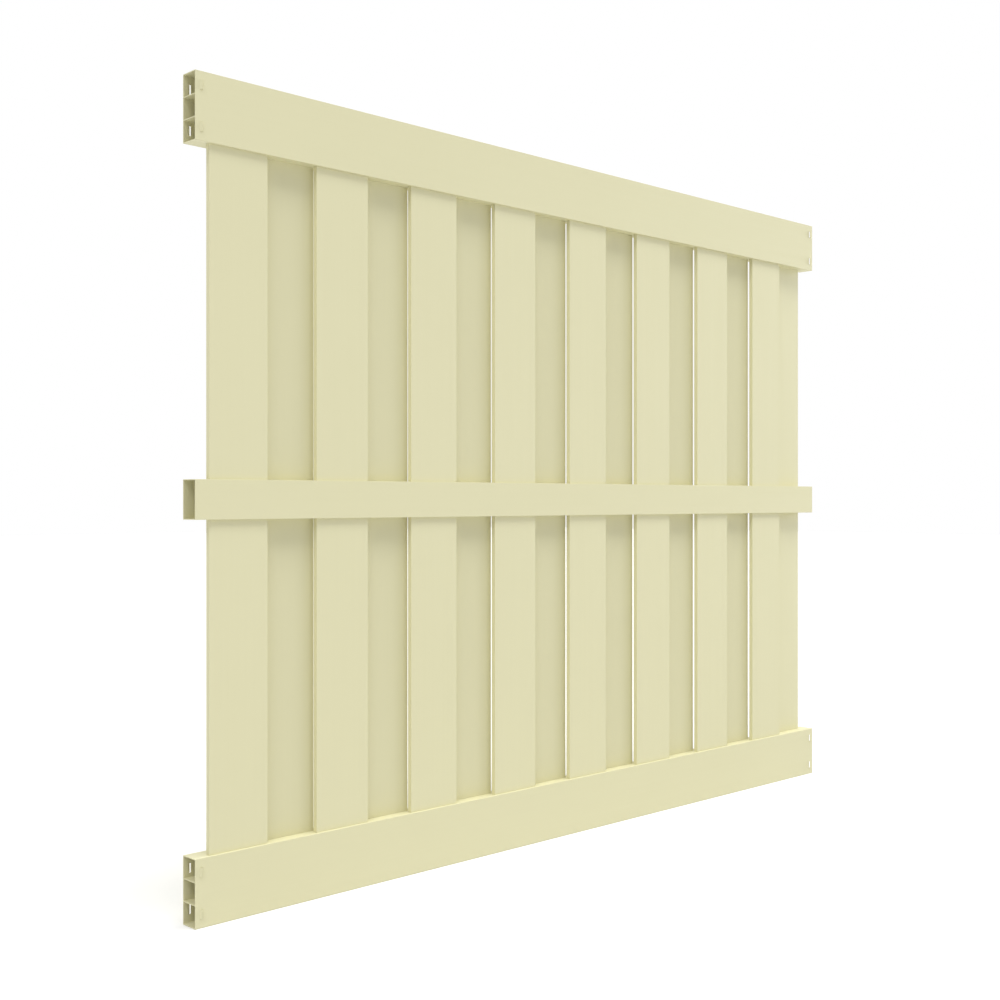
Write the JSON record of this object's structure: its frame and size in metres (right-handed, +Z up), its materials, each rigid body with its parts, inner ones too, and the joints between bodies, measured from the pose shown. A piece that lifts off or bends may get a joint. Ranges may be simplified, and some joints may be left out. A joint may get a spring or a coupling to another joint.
{
  "type": "fence panel",
  "caption": "Shadowbox fence panel in hollow vinyl: rails routed for staggered front and back pickets, with lock tabs on the ends of the top and bottom rails.",
  "frame": {"origin": "centre of the bottom rail's underside, on the panel's mid-plane", "axes": "+X along the rails, to the right as seen from the front; +Y towards the back; +Z up"},
  "size_m": [2.405, 0.058, 1.8733],
  "materials": {
    "rail_vinyl": "satin",
    "picket_vinyl": "satin"
  },
  "bodies": {
    "root": {"top_rail": "rail_vinyl", "mid_rail": "rail_vinyl", "bottom_rail": "rail_vinyl", "front_picket_1": "picket_vinyl", "front_picket_2": "picket_vinyl", "front_picket_3": "picket_vinyl", "front_picket_4": "picket_vinyl", "front_picket_5": "picket_vinyl", "front_picket_6": "picket_vinyl", "front_picket_7": "picket_vinyl", "front_picket_8": "picket_vinyl", "back_picket_1": "picket_vinyl", "back_picket_2": "picket_vinyl", "back_picket_3": "picket_vinyl", "back_picket_4": "picket_vinyl", "back_picket_5": "picket_vinyl", "back_picket_6": "picket_vinyl", "back_picket_7": "picket_vinyl", "back_picket_8": "picket_vinyl"}
  },
  "joints": []
}
